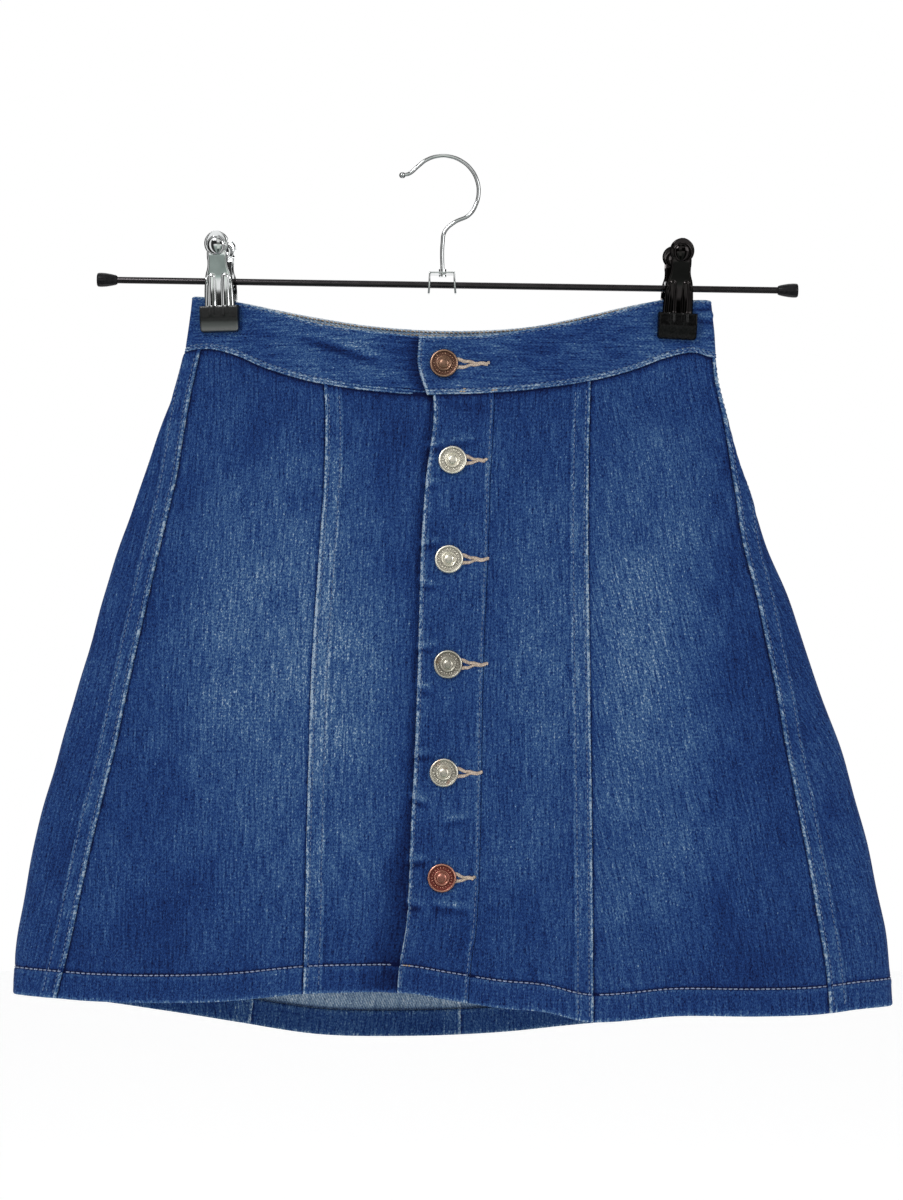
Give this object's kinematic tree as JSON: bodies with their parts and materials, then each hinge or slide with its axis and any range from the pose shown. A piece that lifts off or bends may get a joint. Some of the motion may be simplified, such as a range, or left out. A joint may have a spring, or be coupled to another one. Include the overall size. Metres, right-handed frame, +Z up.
{
  "type": "denim skirt on a clip hanger",
  "caption": "Short A-line denim skirt in panels, buttoned down the front with metal shank buttons, hung by its waistband from a rod hanger with two spring clips",
  "frame": {"origin": "the top inside of the hook, where a rail or a peg carries the hanger", "axes": "+Z up, +X to the viewer's right across the skirt, front towards -Y"},
  "size_m": [0.5236, 0.0788, 0.5327],
  "materials": {
    "denim": "mid-blue washed stretch denim twill, faded on the thighs, light worn ridges along the seams",
    "button_metal": "aged copper and nickel shank buttons, pressed relief, worn bright on the rims",
    "bright_chrome": "bright mirror chrome",
    "dark_chrome": "dark polished chrome",
    "black_rubber": "black, slightly glossy moulded rubber"
  },
  "bodies": {
    "root": {"front_left_side": "denim", "front_left_centre": "denim", "buttonhole_placket": "denim", "front_right_centre": "denim", "front_right_side": "denim", "back_left_side": "denim", "back_left_centre": "denim", "back_right_centre": "denim", "back_right_side": "denim", "waistband": "denim", "button_1": "button_metal", "button_2": "button_metal", "button_3": "button_metal", "button_4": "button_metal", "button_5": "button_metal", "button_6": "button_metal", "hook": "bright_chrome", "hook_bracket": "bright_chrome", "left_jaw_front": "bright_chrome", "left_jaw_back": "bright_chrome", "rod": "dark_chrome", "left_spring": "dark_chrome", "right_spring": "dark_chrome", "right_jaw_front": "dark_chrome", "right_jaw_back": "dark_chrome", "rod_cap_left": "black_rubber", "rod_cap_right": "black_rubber", "left_pad_front": "black_rubber", "left_pad_back": "black_rubber", "right_pad_front": "black_rubber", "right_pad_back": "black_rubber"}
  },
  "joints": []
}
